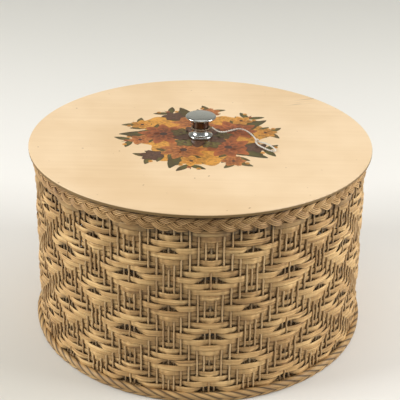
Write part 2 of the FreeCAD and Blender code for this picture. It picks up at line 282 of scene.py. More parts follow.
def reed_state(net, stake, row):
    """Plus one where the reed of a row passes outside a stake, minus one where it passes inside."""
    column = net.math("PINGPONG", net.math("ABSOLUTE", stake), float(COLUMN_REACH))
    step = net.math("PINGPONG", net.math("ABSOLUTE", row - float(TOP_STEP)), float(ROW_REACH))
    place = net.math("MODULO", column + step + 0.01, float(COLUMN_REACH))
    outside = net.math("GREATER_THAN", place, OUTSIDE[0]) * net.math("LESS_THAN", place, OUTSIDE[1])
    return outside * 2.0 - 1.0


def reed_lift(net, stake, row):
    """How far out the reed lies at a stake: it is stiff, so its neighbours hold it back."""
    before = reed_state(net, stake - 1.0, row)
    here = reed_state(net, stake, row)
    after = reed_state(net, stake + 1.0, row)
    return here * 0.5 + (before + after) * 0.25


def stake_angle(net, stake):
    """Angle of a stake; the stakes crowd a little towards the middle of each diamond."""
    crowd = net.math("SINE", stake * (2 * math.pi / COLUMN_REACH)) * -CROWDING
    return (stake + crowd) * (2 * math.pi / STAKES) + TWILL_TURN


def eye_shape(net, stake, row):
    """How the reeds lie round the eyes of the diamonds, where one stake shows by itself.

    Gives the rise of the rows above an eye, and the share by which the row through
    the eye narrows as it is drawn up behind the stakes.
    """
    rise = 0.0
    narrow = 0.0
    for eye_stake, eye_row, reach in EYES:
        cell = net.math("PINGPONG", stake - float(eye_stake), float(COLUMN_REACH))
        near = net.smooth(cell, reach, EYE_FLAT * reach)
        turned = net.math("FLOORED_MODULO", row - float(TOP_STEP + eye_row) + ROW_REACH, 2.0 * ROW_REACH)
        far = turned - float(ROW_REACH)
        above = net.smooth(far, *EYE_ROWS) * net.math("LESS_THAN", far, -0.5)
        rise = rise + near * above * (EYE_GAP * reach / EYES[0][2])
        narrow = narrow + near * net.math("COMPARE", far, 0.0, 0.2)
    return rise, narrow


# %% [markdown]
# ## Growing a piece
# Every woven piece grows in the same way.  A tree starts from flat grids or rods, works
# out where each point belongs and moves it there.  It could stay live as a modifier, but
# a plain mesh is all that another program needs, so the tree runs once.


# %% Starting a tree
def new_tree(name, inputs):
    """A Geometry Nodes tree with named inputs and one geometry output."""
    tree = bpy.data.node_groups.new(name, "GeometryNodeTree")
    tree.interface.new_socket("Geometry", in_out="OUTPUT", socket_type="NodeSocketGeometry")
    for label, kind in inputs.items():
        tree.interface.new_socket(label, in_out="INPUT", socket_type=f"NodeSocket{kind}")
    net = Net(tree)
    asked = tree.nodes.new("NodeGroupInput")
    return net, {label: Wire(net, asked.outputs[label]) for label in inputs}


def store(net, geometry, name, value, kind="FLOAT"):
    """Keep a number at each point, or a place on the fibre chart at each corner."""
    return net.node(
        "GeometryNodeStoreNamedAttribute",
        {"data_type": kind, "domain": "CORNER" if kind == "FLOAT2" else "POINT"},
        {"Geometry": geometry, "Name": name, "Value": value},
    )


def unit_grid(net, along, around):
    """A unit square of faces that the tree wraps into a tube."""
    return net.node(
        "GeometryNodeMeshGrid",
        None,
        {"Size X": 1.0, "Size Y": 1.0, "Vertices X": along + 1, "Vertices Y": around + 1},
    )


def numbered_copies(net, count, part, name):
    """Copies of one part, and a wire that holds the number of the copy."""
    line = net.node("GeometryNodeMeshLine", None, {"Count": count, "Offset": (0.0, 0.0, 0.0)})
    line = store(net, line, name, net.node("GeometryNodeInputIndex"))
    copies = net.node("GeometryNodeInstanceOnPoints", None, {"Points": line, "Instance": part})
    copies = net.node("GeometryNodeRealizeInstances", None, {0: copies})
    return copies, net.node("GeometryNodeInputNamedAttribute", {"data_type": "FLOAT"}, {"Name": name})


def on_ring(net, angle, radius, level):
    """A place on a ring about the box's axis."""
    return net.xyz(net.math("COSINE", angle) * radius, net.math("SINE", angle) * radius, level)


def squared(net, value, power):
    """Push a sine or cosine towards a rounded square."""
    return net.math("SIGN", value) * net.math("POWER", net.math("ABSOLUTE", value), power)


# %% Closing a tree and keeping its mesh
SEAM = 1e-7


def close_tree(net, geometry, place, fibres, shelter, material, number=None):
    """Keep the chart and the amount of painted shade, move the points, set the material and hand the
    geometry out.
    """
    geometry = store(net, geometry, "reed", fibres, "FLOAT2")
    geometry = store(net, geometry, "shelter", shelter)
    geometry = net.node("GeometryNodeSetPosition", None, {"Geometry": geometry, "Position": place})
    if number:
        geometry = net.node("GeometryNodeRemoveAttribute", None, {"Geometry": geometry, "Name": number})
    geometry = net.node("GeometryNodeRealizeInstances", None, {0: geometry})
    geometry = net.node("GeometryNodeSetShadeSmooth", None, {0: geometry})
    geometry = net.node("GeometryNodeSetMaterial", None, {"Geometry": geometry, "Material": material})
    result = net.tree.nodes.new("NodeGroupOutput")
    net.feed(result.inputs[0], geometry)
    return net.tree


def turn_outwards(mesh):
    """Merge the seams and point every face out."""
    work = bmesh.new()
    work.from_mesh(mesh)
    bmesh.ops.remove_doubles(work, verts=work.verts, dist=SEAM)
    bmesh.ops.recalc_face_normals(work, faces=work.faces)
    work.to_mesh(mesh)
    work.free()


def grow(name, tree, values):
    """Evaluate a tree once and keep the plain mesh, its faces turned outwards."""
    piece = bpy.data.objects.new(name, bpy.data.meshes.new(name))
    bpy.context.scene.collection.objects.link(piece)
    modifier = piece.modifiers.new("grow", "NODES")
    modifier.node_group = tree
    for item in tree.interface.items_tree:
        if item.in_out == "INPUT":
            modifier[item.identifier] = values[item.name]
    ready = piece.evaluated_get(bpy.context.evaluated_depsgraph_get())
    mesh = bpy.data.meshes.new_from_object(ready)
    piece.modifiers.remove(modifier)
    piece.data = mesh
    mesh.name = name
    turn_outwards(mesh)
    return piece


# %% [markdown]
# ## Rows of flat reed
# A row is one strip of flat reed that goes once round, in and out of the stakes.  It could
# be a curve with a flat bevel, but such a curve twists where it bends.  Here it is a grid:
# its long side goes once round the box, its short side once round the reed's section.  The
# rule swings it in and out, and a little noise keeps it from looking machined.  Where the
# reed lies behind stakes it gets painted shade, darkest next to a gap.

# %% A row as a tree
SAMPLES = 6
REED_SIDES = 10
SLOT = 1.0 * MM
ROW_SWAY = 0.8 * MM
ROW_FLUTTER = 0.35 * MM
WIDTH_FLUTTER = 0.14
FACE_POWER = 0.4
EDGE_POWER = 0.62
EYE_NARROWING = 0.38
EYE_SHIFT = 0.2
CHART_PER_STAKE = 5.1 * MM
CHART_ROUND = 11.0 * MM
DEEPEST = 0.97
GAP_SHADE, STAKE_SHADE, BEHIND_SHADE = 0.9, 0.5, 0.28
EDGE_SHADE, RIM_SHADOW, INNER_SHADE = 0.15, 0.4, 0.5


def reed_row_tree():
    """One closed row, wrapped round the wall and swung in and out by the twill rule."""
    net, asked = new_tree(
        "reed_row",
        {"Row": "Float", "Level": "Float", "Radius": "Float", "Width": "Float", "Material": "Material"},
    )
    row = asked["Row"]
    width = asked["Width"]
    x, y, _ = net.split(net.node("GeometryNodeInputPosition"))
    stake = (x + 0.5) * float(STAKES)
    whole = net.math("FLOOR", stake + 0.0001)
    share = net.smooth(stake - whole, 0.0, 1.0)
    here = reed_lift(net, whole, row)
    there = reed_lift(net, whole + 1.0, row)
    swing = (here + (there - here) * share) * REED_SWING
    angle = stake_angle(net, stake)
    turn = (y + 0.5) * (2 * math.pi)
    cosine = net.math("COSINE", turn)
    sine = net.math("SINE", turn)
    ring = on_ring(net, angle, 1.0, row * 0.37)
    sway = net.noise(ring, 2.6, 2.0) - 0.5
    flutter = net.noise(ring, 9.0, 1.0) - 0.5
    depth = squared(net, cosine, FACE_POWER) * (REED_THICK / 2)
    rise, narrow = eye_shape(net, stake, row)
    across = squared(net, sine, EDGE_POWER) * width * (flutter * WIDTH_FLUTTER + 0.5)
    across = across * (1.0 - narrow * EYE_NARROWING) + narrow * width * EYE_SHIFT
    below_here = reed_state(net, whole, row + 1.0)
    below_there = reed_state(net, whole + 1.0, row + 1.0)
    below = (below_here + (below_there - below_here) * share) * 0.5 + 0.5
    behind = 0.5 - swing * (0.5 / REED_SWING)
    lower = net.smooth(sine, 0.2, -0.7)
    radius = asked["Radius"] + swing + depth + flutter * ROW_FLUTTER
    level = asked["Level"] + across + sway * ROW_SWAY + rise + behind * below * lower * SLOT
    inward = net.smooth(cosine, 0.3, -0.3)
    edge = net.smooth(net.math("ABSOLUTE", sine), 0.9, 1.0) * EDGE_SHADE
    under_rim = net.smooth(row, 1.6, 0.0) * RIM_SHADOW
    beside = net.math("ABSOLUTE", stake - net.math("ROUND", stake))
    by_stake = net.smooth(beside, 0.36, 0.14) * STAKE_SHADE
    # Painted shade on the reed: behind the stakes, darkest next to a gap and beside a stake; its edges,
    # the rows under the rim and the inner faces are darkened too.
    hidden = lower * below * GAP_SHADE + narrow * GAP_SHADE + by_stake + BEHIND_SHADE
    shelter = (behind * hidden + edge + under_rim) * (1.0 - inward) + inward * INNER_SHADE
    fibres = net.xyz(stake * CHART_PER_STAKE + row * 0.83, (y + 0.5) * CHART_ROUND + row * 0.02, 0.0)
    return close_tree(
        net,
        unit_grid(net, STAKES * SAMPLES, REED_SIDES),
        on_ring(net, angle, radius, level),
        fibres,
        net.math("MINIMUM", shelter, DEEPEST),
        asked["Material"],
    )


# %% Weaving the rows
LOOSE_WIDTH = 1.06


def wall_radius(level):
    """Radius of the stake circle at a height."""
    share = (level - STAKE_LOW) / (STAKE_HIGH - STAKE_LOW)
    return FOOT_CIRCLE + (RIM_CIRCLE - FOOT_CIRCLE) * share


row_tree = reed_row_tree()
for number in range(1, ROWS + 1):
    node = f"weaver_{number:02d}"
    level = FIRST_LEVEL + (number - 1) * ROW_PITCH
    values = {
        "Row": float(ROWS - number),
        "Level": level,
        "Radius": wall_radius(level),
        "Width": REED_WIDTH * LOOSE_WIDTH,
        "Material": flat_reed,
    }
    row = grow(f"reed_{number:02d}", row_tree, values)
    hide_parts(node)
    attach(row, "basket")
print("rows grown:", ROWS, "faces each:", len(row.data.polygons))

# %% [markdown]
# ## Stakes
# The stakes are the thin round rods that stand from the foot to the rim.  They give way a
# little at each row: in where the reed passes outside, out where it passes inside.  Each
# could be a curve of its own, but they all follow one rule, so one rod is instanced on a
# line of points and realised, and then every rod is bent by its own number.

# %% A stake as a tree
STAKE_SIDES = 6
STAKE_RINGS = ROWS * 3
STAKE_GIVE = 0.65
STAKE_SWAY = 0.006
BETWEEN_SHADE, STAKE_RIM_SHADE = 0.55, 0.35


def stake_lift(net, stake, row):
    """The stake lies against the reed, on the side that the rule gives."""
    return (reed_lift(net, stake, row) - reed_state(net, stake, row)) * STAKE_GIVE


def stake_tree():
    """All the stakes: straight rods, each bent by its own number."""
    net, asked = new_tree("stake_rods", {"Material": "Material"})
    tall = STAKE_HIGH - STAKE_LOW
    rod = net.node(
        "GeometryNodeMeshCylinder",
        {"fill_type": "NGON"},
        {"Vertices": STAKE_SIDES, "Side Segments": STAKE_RINGS, "Radius": STAKE_RADIUS, "Depth": tall},
    )
    rods, stake = numbered_copies(net, STAKES, rod, "stake")
    x, y, z = net.split(net.node("GeometryNodeInputPosition"))
    level = z + (STAKE_LOW + STAKE_HIGH) / 2
    row = (level - FIRST_LEVEL) / ROW_PITCH
    whole = net.math("FLOOR", row)
    share = net.smooth(row - whole, 0.1, 0.9)
    here = stake_lift(net, stake, ROWS - 1.0 - whole)
    there = stake_lift(net, stake, ROWS - 2.0 - whole)
    swing = (here + (there - here) * share) * REED_SWING
    sway = net.noise(net.xyz(stake * 7.3, level * 22.0, 0.0), 1.0, 1.0) - 0.5
    angle = stake_angle(net, stake) + sway * STAKE_SWAY
    out = (level - STAKE_LOW) / tall * (RIM_CIRCLE - FOOT_CIRCLE) + FOOT_CIRCLE + swing + x
    cosine = net.math("COSINE", angle)
    sine = net.math("SINE", angle)
    place = net.xyz(cosine * out - sine * y, sine * out + cosine * y, level)
    fibres = net.xyz(level + stake * 0.31, net.math("ARCTAN2", y, x) * MM + stake * 0.013, 0.0)
    # Painted shade on the stakes: bits with rows passing in front above and below, and the tops under the
    # rim.
    nearest = ROWS - 1.0 - net.math("ROUND", row)
    over = reed_state(net, stake, nearest - 1.0) * 0.5 + 0.5
    under = reed_state(net, stake, nearest + 1.0) * 0.5 + 0.5
    shelter = over * under * BETWEEN_SHADE + net.smooth(nearest, 1.4, 0.0) * STAKE_RIM_SHADE
    return close_tree(net, rods, place, fibres, shelter, asked["Material"], "stake")


# %% Setting the stakes
stakes = grow("stake_rods", stake_tree(), {"Material": stake_reed})
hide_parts("stakes")
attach(stakes, "basket")
print("stake faces:", len(stakes.data.polygons))

# %% [markdown]
# ## Plaited borders
# The stake ends are gathered in bundles and plaited, three bundles at a time, into a
# flat braid that runs round the box.  One stretch of braid could be modelled by hand and
# arrayed along a circle, but waves close on themselves without a seam.  A three-strand
# plait is a sine wave across the braid and one of twice the rate through its depth; the
# three strands are a third of a turn apart.  The rods of one bundle lie side by side,
# square to the bundle's path.

# %% A plait as a tree
PLAIT_SAMPLES = 10
PLAIT_SIDES = 8
STRANDS = 3
CELLS = 72
CROWN = 0.22
DEPTH_JITTER = 0.4 * MM
RISE_JITTER = 0.3 * MM
ROD_CHART = 5.0 * MM
SUNK_DEPTH = -1.2 * MM
CAP_BLEND = 0.8 * MM
SUNK_SHADE, ROD_SHADE, CAP_SHADE = 0.95, 0.65, 0.95


def plait_tree():
    """Three bundles of rods round the box; each is a wave, a third of a turn from the next."""
    numbers = ("Radius", "Level", "Reach", "Depth", "Rod Width", "Rod Thickness", "Dark Above")
    inputs = {label: "Float" for label in numbers}
    net, asked = new_tree("plait_ring", {**inputs, "Rods": "Int", "Material": "Material"})
    ring, reach, rods, rod_width = (asked[label] for label in ("Radius", "Reach", "Rods", "Rod Width"))
    grid = unit_grid(net, CELLS * PLAIT_SAMPLES, PLAIT_SIDES)
    tubes, number = numbered_copies(net, rods * STRANDS, grid, "rod")
    strand = net.math("FLOOR", (number + 0.001) / rods)
    rod = number - strand * rods
    x, y, _ = net.split(net.node("GeometryNodeInputPosition"))
    round_box = (x + 0.5) * (2 * math.pi)
    turns = CELLS / STRANDS
    phase = round_box * turns + strand * (2 * math.pi / STRANDS)
    slant = net.math("ARCTANGENT", net.math("COSINE", phase) * reach * turns / ring)
    jitter = net.noise(net.xyz(round_box * 9.0, number * 5.1, 0.0), 1.0, 1.0) - 0.5
    turn = (y + 0.5) * (2 * math.pi)
    sine = net.math("SINE", turn)
    beside = (rod - (rods - 1.0) / 2.0) * rod_width
    section = beside + sine * rod_width * 0.5
    depth = net.math("SINE", phase * 2.0) * asked["Depth"] - beside * beside / reach * CROWN
    depth = depth + net.math("COSINE", turn) * asked["Rod Thickness"] * 0.5 + jitter * DEPTH_JITTER
    rise = net.math("SINE", phase) * reach + section * net.math("COSINE", slant) + jitter * RISE_JITTER
    angle = round_box - section * net.math("SINE", slant) / ring + TWILL_TURN
    place = on_ring(net, angle, ring + depth, asked["Level"] + rise)
    fibres = net.xyz(round_box * ring + number * 0.71, (y + 0.5) * ROD_CHART + number * 0.017, 0.0)
    # Painted shade on the plait: deep-lying parts, the gaps between rods and the top under the lid.
    sunk = net.smooth(depth, 0.0, SUNK_DEPTH) * SUNK_SHADE
    between = net.smooth(net.math("ABSOLUTE", sine), 0.7, 1.0) * ROD_SHADE
    capped = net.smooth(rise - asked["Dark Above"], 0.0, CAP_BLEND) * CAP_SHADE
    shelter = net.math("MINIMUM", sunk + between + capped, 0.95)
    return close_tree(net, tubes, place, fibres, shelter, asked["Material"], "rod")


# %% Plaits of the rim and the foot
RIM_LOW, RIM_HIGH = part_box("rim_border")
_, FOOT_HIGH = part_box("foot_border")
RIM_DROP = 0.8 * MM
LID_SHADOW = 4.1 * MM
RIM_VALUES = {
    "Level": (RIM_LOW[2] + RIM_HIGH[2]) / 2 - RIM_DROP,
    "Reach": 4.0 * MM,
    "Rods": 4,
    "Rod Width": 1.3 * MM,
    "Rod Thickness": 1.3 * MM,
}
FOOT_VALUES = {
    "Level": 3.7 * MM,
    "Reach": 1.6 * MM,
    "Rods": 3,
    "Rod Width": 1.2 * MM,
    "Rod Thickness": 1.4 * MM,
}
plaits = {
    "rim_plait": ("rim_border", RIM_HIGH[0] - 2.2 * MM, 1.0 * MM, RIM_VALUES),
    "rim_plait_inside": ("rim_border", RIM_HIGH[0] - 6.0 * MM, -1.0 * MM, RIM_VALUES),
    "foot_plait_inside": ("foot_border", FOOT_HIGH[0] - 6.6 * MM, 0.8 * MM, FOOT_VALUES),
}
plait = plait_tree()
for name, (node, radius, depth, values) in plaits.items():
    own = {"Radius": radius, "Depth": depth, "Dark Above": LID_SHADOW, "Material": plait_reed}
    ring = grow(name, plait, {**values, **own})
    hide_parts(node)
    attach(ring, "basket")
    print(name, "faces:", len(ring.data.polygons))

# %% [markdown]
# ## Foot rope
# At the foot the stakes are laid over one another as a thick rope.  Four flat strands
# wind round a ring; each strand is a tube whose section turns with the winding, so that
# its broad side always faces out.  A thinner rope below it winds the other way, which
# gives the border the look of a plait.  A twisted bar could pass for a rope from afar, but
# separate strands keep the dark seams between them, deepened with painted shade, and one
# tree makes both ropes.

# %% A rope as a tree
ROPE_STRANDS = 4
ROPE_TURNS = 20
ROPE_SAMPLES = 32
ROPE_SIDES = 12
ROPE_JITTER = 0.8 * MM
ROPE_CHART = 12.0 * MM
SEAM_SHADE, CORE_SHADE = 0.8, 0.9


def rope_tree():
    """Flat strands wound round a ring; the sign of Turns says which way."""
    sizes = ("Radius", "Level", "Half Depth", "Half Height", "Strand Width", "Strand Thickness")
    inputs = {label: "Float" for label in ("Turns", *sizes)}
    net, asked = new_tree("rope_ring", {**inputs, "Material": "Material"})
    grid = unit_grid(net, ROPE_TURNS * ROPE_SAMPLES, ROPE_SIDES)
    tubes, strand = numbered_copies(net, ROPE_STRANDS, grid, "strand")
    x, y, _ = net.split(net.node("GeometryNodeInputPosition"))
    angle = (x + 0.5) * (2 * math.pi)
    turn = (y + 0.5) * (2 * math.pi)
    facing = net.math("COSINE", turn)
    across = net.math("SINE", turn)
    wind = strand * (2 * math.pi / ROPE_STRANDS) - angle * asked["Turns"]
    cosine = net.math("COSINE", wind)
    sine = net.math("SINE", wind)
    jitter = net.noise(on_ring(net, angle, 1.0, strand), 14.0, 1.0) - 0.5
    out = facing * asked["Strand Thickness"] * 0.5 + jitter * ROPE_JITTER
    side = squared(net, across, 0.8) * asked["Strand Width"] * 0.5
    depth = cosine * (asked["Half Depth"] + out) - sine * side
    rise = sine * (asked["Half Height"] + out) + cosine * side
    place = on_ring(net, angle, asked["Radius"] + depth, asked["Level"] + rise)
    fibres = net.xyz(angle * asked["Radius"] + strand * 0.71, (y + 0.5) * ROPE_CHART + strand * 0.17, 0.0)
    # Painted shade at the seams between strands and on their inner faces.
    seam = net.smooth(net.math("ABSOLUTE", across), 0.35, 0.85) * SEAM_SHADE
    core = net.smooth(facing, 0.1, -0.4) * CORE_SHADE
    shelter = net.math("MINIMUM", seam + core, 0.95)
    return close_tree(net, tubes, place, fibres, shelter, asked["Material"], "strand")


# %% The two ropes of the foot
ropes = {
    "foot_rope": {
        "Radius": FOOT_HIGH[0] - 2.9 * MM,
        "Level": 4.6 * MM,
        "Turns": float(ROPE_TURNS),
        "Half Depth": 1.7 * MM,
        "Half Height": 1.7 * MM,
        "Strand Width": 4.2 * MM,
        "Strand Thickness": 2.2 * MM,
    },
    "foot_rope_low": {
        "Radius": FOOT_HIGH[0] - 2.1 * MM,
        "Level": 1.8 * MM,
        "Turns": -float(ROPE_TURNS),
        "Half Depth": 1.0 * MM,
        "Half Height": 0.8 * MM,
        "Strand Width": 2.6 * MM,
        "Strand Thickness": 1.3 * MM,
    },
}
winding = rope_tree()
for name, values in ropes.items():
    rope = grow(name, winding, {**values, "Material": rope_reed})
    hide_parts("foot_border")
    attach(rope, "basket")
    print(name, "faces:", len(rope.data.polygons))

# %% [markdown]
# ## Lid and boards
# The lid is a thin plywood board under yellowed cream varnish.  The grain barely shows
# through, a few specks sit in the varnish, and the sawn edge is bare and darker.  The
# board could be modelled again, but its solid already has the right shape, so only the
# finish is made here.  Noise on Object coordinates leaves no seam on a round board.

# %% Lid varnish
_, LID_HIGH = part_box("lid_board")
CREAM = (rgba(243, 216, 178), rgba(226, 195, 152))
BARE_EDGE = (rgba(112, 86, 48), rgba(142, 114, 68))
SPECK = rgba(150, 108, 66)
SCRATCH = rgba(120, 92, 58)
SCUFF = (93.0 * MM, 92.0 * MM)
SCUFF_TURN = (0.9, 0.35)
GRAIN_HEIGHT = 0.2 * MM


def lid_finish():
    """Cream varnish with specks, one scuffed place and a bare edge."""
    material, net, shader = new_finish("cream_lid")
    place = net.node("ShaderNodeTexCoord", out="Object")
    x, y, z = net.split(place)
    grain = net.noise(net.xyz(x * 9.0, y * 260.0, z * 40.0), 1.0, 3.0)
    cloud = net.noise(place, 11.0, 3.0)
    colour = net.mix(net.smooth(grain * 0.18 + cloud * 0.82, 0.3, 0.7), *CREAM)
    specks = net.smooth(net.noise(place, 230.0, 1.0), 0.75, 0.8)
    colour = net.mix(specks * 0.65, colour, SPECK)
    ahead, aside = SCUFF_TURN
    scuff_x = (x - SCUFF[0]) * ahead + (y - SCUFF[1]) * aside
    scuff_y = (y - SCUFF[1]) * ahead - (x - SCUFF[0]) * aside
    lines = stretched_noise(net, scuff_x, scuff_y, (22.0, 620.0), 1.0)
    away = net.math("POWER", scuff_x * 30.0, 2.0) + net.math("POWER", scuff_y * 75.0, 2.0)
    worn = 1.0 - net.smooth(away, 0.3, 1.0)
    colour = net.mix(net.smooth(lines, 0.6, 0.68) * worn * 0.7, colour, SCRATCH)
    edge = 1.0 - net.smooth(z, LID_HIGH[2] - 0.9 * MM, LID_HIGH[2] - 0.25 * MM)
    plies = net.noise(net.xyz(x * 60.0, y * 60.0, z * 1400.0), 1.0, 2.0)
    colour = net.mix(edge, colour, net.mix(plies, *BARE_EDGE))
    normal = net.bump(0.12, GRAIN_HEIGHT, grain)
    shade(net, shader, Base_Color=colour, Roughness=0.38 + cloud * 0.2 + edge * 0.15, Normal=normal)
    return material


# %% Plain boards
def board_finish(name, pale, deep):
    """Plain planed wood with grain along X."""
    material, net, shader = new_finish(name)
    place = net.node("ShaderNodeTexCoord", out="Object")
    x, y, z = net.split(place)
    bend = net.noise(place, 7.0, 2.0) * 0.06
    rings = net.noise(net.xyz(x * 5.0, (y + bend) * 150.0, z * 150.0), 1.0, 4.0)
    pores = net.noise(net.xyz(x * 60.0, y * 1500.0, z * 1500.0), 1.0, 1.0)
    colour = net.mix(rings * 0.8 + pores * 0.25, pale, deep)
    normal = net.bump(0.2, GRAIN_HEIGHT, pores)
    shade(net, shader, Base_Color=colour, Roughness=0.55 + pores * 0.2, Normal=normal)
    return material


def dress(node, material):
    """Give a CAD solid its finish."""
    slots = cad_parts[node].data.materials
    slots.clear()
    slots.append(material)


bare_board = board_finish("bare_board", rgba(222, 190, 142), rgba(172, 132, 86))
dress("lid_board", lid_finish())
dress("lid_hoop", bare_board)
dress("base_board", bare_board)
print("boards dressed:", ["lid_board", "lid_hoop", "base_board"])

# %% [markdown]
# ## Knob, screw and washer
# The knob is turned metal with bright chrome; round the neck a brown painted reflection
# and painted shade darken it.  A Screw modifier could spin its outline, but a lathe in code also closes
# the poles and takes as many steps as smooth reflections need.  The screw and washer under
# the lid keep their solids and get zinc plate.


# %% Plated metal
def metal_finish(name, colour, painted_reflection, band, roughness, smudge):
    """Plated metal; between the two heights of `band` a brown painted reflection and painted shade darken
    it.
    """
    material, net, shader = new_finish(name)
    place = net.node("ShaderNodeTexCoord", out="Object")
    _, _, z = net.split(place)
    cloud = net.noise(place, 160.0, 3.0)
    low, high = band
    within = net.smooth(z, high, high - 1.2 * MM) * net.smooth(z, low, low + 2.0 * MM)
    colour = net.mix(within * (0.75 + cloud * 0.25), colour, painted_reflection)
    shade(net, shader, Base_Color=colour, Metallic=1.0, Roughness=roughness + cloud * smudge)
    return material


KNOB_LOW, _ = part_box("knob")
KNOB_SEAT = KNOB_LOW[2]
REFLECTION_BAND = (KNOB_SEAT + 5.2 * MM, KNOB_SEAT + 15.6 * MM)
CHROME = (0.56, 0.575, 0.55, 1.0)
ZINC = (0.6, 0.6, 0.58, 1.0)
# The dark brown on the neck is a painted reflection of the print and painted shade under the cap.
chrome = metal_finish("chrome", CHROME, rgba(78, 62, 50), REFLECTION_BAND, 0.15, 0.12)
zinc = metal_finish("zinc_plate", ZINC, rgba(150, 146, 136), REFLECTION_BAND, 0.3, 0.2)
dress("knob_screw", zinc)
dress("knob_washer", zinc)
print("knob seat, mm:", round(KNOB_SEAT / MM, 1))


# %% A lathe
def add_mesh(name, work, material):
    """Turn finished bmesh work into an object of the scene."""
    mesh = bpy.data.meshes.new(name)
    work.to_mesh(mesh)
    work.free()
    mesh.materials.append(material)
    piece = bpy.data.objects.new(name, mesh)
    bpy.context.scene.collection.objects.link(piece)
    return piece


def lathe(name, outline, steps, material):
    """Spin (radius, height) corners about Z into a closed smooth mesh."""
    work = bmesh.new()
    rings = []
    for radius, height in outline:
        if radius == 0.0:
            rings.append([work.verts.new((0.0, 0.0, height))])
            continue
        ring = []
        for step in range(steps):
            angle = 2 * math.pi * step / steps
            ring.append(work.verts.new((radius * math.cos(angle), radius * math.sin(angle), height)))
        rings.append(ring)
    for low, high in zip(rings, rings[1:]):
        for step in range(steps):
            after = (step + 1) % steps
            corners = [low[step % len(low)], low[after % len(low)]]
            corners += [high[after % len(high)], high[step % len(high)]]
            work.faces.new(list(dict.fromkeys(corners)))
    bmesh.ops.recalc_face_normals(work, faces=work.faces)
    for face in work.faces:
        face.smooth = True
    return add_mesh(name, work, material)


def arc(start, end, bulge, count):
    """Points of an arc between two outline corners, without the last one."""
    first = Vector(start)
    chord = Vector(end) - first
    side = Vector((chord.y, -chord.x)).normalized()
    points = []
    for step in range(count):
        share = step / count
        points.append(tuple(first + chord * share + side * (bulge * 4 * share * (1 - share))))
    return points


# %% Turning the knob
BORE_DEPTH = 9.0
KNOB_STEPS = 96
knob_mm = (
    [(2.05, BORE_DEPTH), (2.05, 0.0), (9.5, 0.0), (9.9, 0.2), (10.1, 0.6), (10.1, 1.5)]
    + arc((10.0, 2.0), (6.65, 6.8), -0.9, 10)
    + [(6.6, 7.2), (6.5, 10.5), (6.6, 14.0)]
    + arc((6.65, 14.2), (11.5, 16.3), -0.5, 10)
    + arc((11.5, 16.3), (11.5, 18.5), 1.0, 10)
    + arc((11.5, 18.5), (0.0, 19.4), 0.25, 16)
    + [(0.0, 19.4)]
)
knob_mm = [(0.0, BORE_DEPTH)] + knob_mm
knob = lathe("turned_knob", [(r * MM, KNOB_SEAT + z * MM) for r, z in knob_mm], KNOB_STEPS, chrome)
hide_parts("knob")
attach(knob, "lid")
print("knob faces:", len(knob.data.polygons))

# %% [markdown]
# ## Tag string
# A thin white two-ply string is tied round the knob's neck, wanders over the lid and
# ends in a narrow loop.  A bevelled curve would give a plain tube; two strands that wind
# round the line show the twist.  Each route is one smooth NURBS line.

# %% Routes of the string
LEAD_ROUTE = [
    (8.9, 0.9, 8.0),
    (12.4, 2.4, 4.4),
    (17.2, 5.6, 1.3),
    (24.0, 10.4, 0.95),
    (31.2, 13.6, 1.9),
    (37.2, 10.8, 1.8),
    (42.2, 3.8, 0.9),
    (44.8, -4.9, 0.95),
    (45.8, -10.6, 0.9),
]
LOOP_START = Vector((45.9, -12.2, 0.9))
LOOP_ALONG = Vector((0.68, -0.735, 0.0)).normalized()
LOOP_ACROSS = Vector((0.735, 0.68, 0.0)).normalized()
LOOP_ROUTE = [
    (0.5, 0.9, 0.0),
    (4.5, 2.9, 0.1),
    (9.5, 2.8, 0.4),
    (15.0, 2.0, 0.3),
    (20.0, 0.7, 0.1),
    (22.8, -1.6, 0.0),
    (21.4, -4.2, 0.1),
    (17.0, -5.2, 0.3),
    (11.0, -5.2, 0.5),
    (5.0, -4.2, 0.2),
    (0.3, -1.4, 0.0),
]


print("route points:", len(LEAD_ROUTE), len(LOOP_ROUTE))

# %% Cotton
YARN = (1800.0, 2600.0)
YARN_HEIGHT = 0.2 * MM


def string_finish(name, dull, bright):
    """Spun cotton, with its fine yarn along each ply."""
    material, net, shader = new_finish(name)
    along, across, _ = net.split(net.node("ShaderNodeUVMap", {"uv_map": "reed"}))
    yarn = stretched_noise(net, along, across, YARN, 2.0)
    normal = net.bump(0.5, YARN_HEIGHT, yarn)
    shade(net, shader, Base_Color=net.mix(yarn, dull, bright), Roughness=0.85, Normal=normal)
    return material


cotton = string_finish("cotton_string", rgba(206, 198, 184), rgba(246, 242, 232))
# The turn round the neck is painted darker as shade under the knob's cap.
shade_painted_cotton = string_finish("shade_painted_string", rgba(112, 94, 74), rgba(158, 140, 116))
print("string finishes:", cotton.name, shade_painted_cotton.name)

# %% Lines for the string
UP = Vector((0.0, 0.0, 1.0))


def smooth_line(name, route):
    """Points of the NURBS line through a route, in metres."""
    curve = bpy.data.curves.new(name, "CURVE")
    curve.dimensions = "3D"
    spline = curve.splines.new("NURBS")
    spline.points.add(len(route) - 1)
    for point, place in zip(spline.points, route):
        point.co = (*place, 1.0)
    spline.order_u = 3
    spline.use_endpoint_u = True
    spline.resolution_u = 24
    holder = bpy.data.objects.new(name, curve)
    mesh = bpy.data.meshes.new_from_object(holder)
    points = [vertex.co.copy() for vertex in mesh.vertices]
    bpy.data.objects.remove(holder)
    return points


def hoop(middle, across, up, radius, steps):
    """Points of a circle round a middle, from the first of its two directions to the second."""
    angles = [2 * math.pi * step / steps for step in range(steps)]
    return [middle + (across * math.cos(angle) + up * math.sin(angle)) * radius for angle in angles]


def line_length(line):
    """Length of a line of points, in metres."""
    return sum((b - a).length for a, b in zip(line, line[1:]))


def on_lid(point):
    """A route point in millimetres above the knob's seat, as metres in the frame."""
    return Vector((point[0] * MM, point[1] * MM, KNOB_SEAT + point[2] * MM))


# %% Twisting two plies
STRING = 1.4 * MM
PLY_RADIUS = STRING * 0.29
PLY_OFFSET = STRING * 0.21
PLY_SIDES = 6


